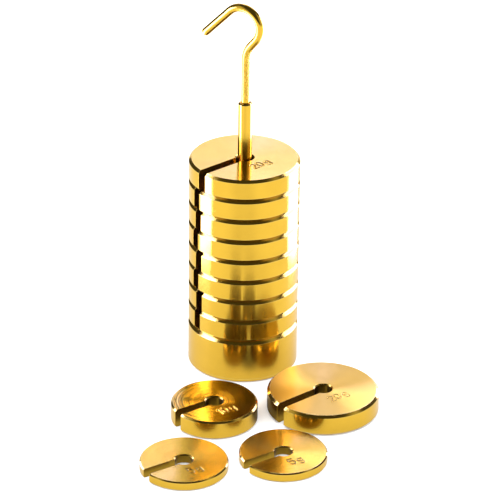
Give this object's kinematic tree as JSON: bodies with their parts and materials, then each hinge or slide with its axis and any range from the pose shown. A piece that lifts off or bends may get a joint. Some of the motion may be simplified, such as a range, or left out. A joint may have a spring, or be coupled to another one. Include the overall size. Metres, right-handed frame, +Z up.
{
  "type": "slotted mass set",
  "caption": "Slotted brass mass set: a hooked hanger with a stack of slotted discs on its rod, and smaller and matching loose discs beside it.",
  "frame": {"origin": "centre of the hanger base's underside, on the surface it stands on", "axes": "+Z up the hanger's rod, -Y towards the loose discs, +X to the right seen from the loose discs"},
  "size_m": [0.0531, 0.0731, 0.0884],
  "materials": {
    "disc_brass": "faces turned with fine concentric tool marks, rims turned bright, edges chamfered",
    "base_brass": "turned and buffed bright",
    "rod_brass": "bright turned rod with faint marks round it",
    "hook_wire": "drawn wire, polished, with a finely roughened shank"
  },
  "bodies": {
    "hanger": {"hanger_base": "base_brass", "hanger_rod": "rod_brass", "hanger_hook": "hook_wire"},
    "disc_20g_1": {"disc_20g_1": "disc_brass"},
    "disc_20g_2": {"disc_20g_2": "disc_brass"},
    "disc_20g_3": {"disc_20g_3": "disc_brass"},
    "disc_20g_4": {"disc_20g_4": "disc_brass"},
    "disc_20g_5": {"disc_20g_5": "disc_brass"},
    "disc_20g_6": {"disc_20g_6": "disc_brass"},
    "disc_20g_7": {"disc_20g_7": "disc_brass"},
    "disc_20g_8": {"disc_20g_8": "disc_brass"},
    "loose_disc_20g": {"loose_disc_20g": "disc_brass"},
    "loose_disc_10g": {"loose_disc_10g": "disc_brass"},
    "loose_disc_5g_left": {"loose_disc_5g_left": "disc_brass"},
    "loose_disc_5g_right": {"loose_disc_5g_right": "disc_brass"}
  },
  "joints": [
    {"name": "lift_20g_1", "type": "slide", "parent": "hanger", "child": "disc_20g_1", "axis": [0, 0, 1], "range_m": [0, 0.024]},
    {"name": "lift_20g_2", "type": "slide", "parent": "disc_20g_1", "child": "disc_20g_2", "axis": [0, 0, 1], "range_m": [0, 0.024]},
    {"name": "lift_20g_3", "type": "slide", "parent": "disc_20g_2", "child": "disc_20g_3", "axis": [0, 0, 1], "range_m": [0, 0.024]},
    {"name": "lift_20g_4", "type": "slide", "parent": "disc_20g_3", "child": "disc_20g_4", "axis": [0, 0, 1], "range_m": [0, 0.024]},
    {"name": "lift_20g_5", "type": "slide", "parent": "disc_20g_4", "child": "disc_20g_5", "axis": [0, 0, 1], "range_m": [0, 0.024]},
    {"name": "lift_20g_6", "type": "slide", "parent": "disc_20g_5", "child": "disc_20g_6", "axis": [0, 0, 1], "range_m": [0, 0.024]},
    {"name": "lift_20g_7", "type": "slide", "parent": "disc_20g_6", "child": "disc_20g_7", "axis": [0, 0, 1], "range_m": [0, 0.024]},
    {"name": "lift_20g_8", "type": "slide", "parent": "disc_20g_7", "child": "disc_20g_8", "axis": [0, 0, 1], "range_m": [0, 0.024]},
    {"name": "lift_loose_disc_20g", "type": "slide", "parent": "hanger", "child": "loose_disc_20g", "axis": [0, 0, 1], "range_m": [0, 0.1]},
    {"name": "lift_loose_disc_10g", "type": "slide", "parent": "hanger", "child": "loose_disc_10g", "axis": [0, 0, 1], "range_m": [0, 0.1]},
    {"name": "lift_loose_disc_5g_left", "type": "slide", "parent": "hanger", "child": "loose_disc_5g_left", "axis": [0, 0, 1], "range_m": [0, 0.1]},
    {"name": "lift_loose_disc_5g_right", "type": "slide", "parent": "hanger", "child": "loose_disc_5g_right", "axis": [0, 0, 1], "range_m": [0, 0.1]}
  ]
}
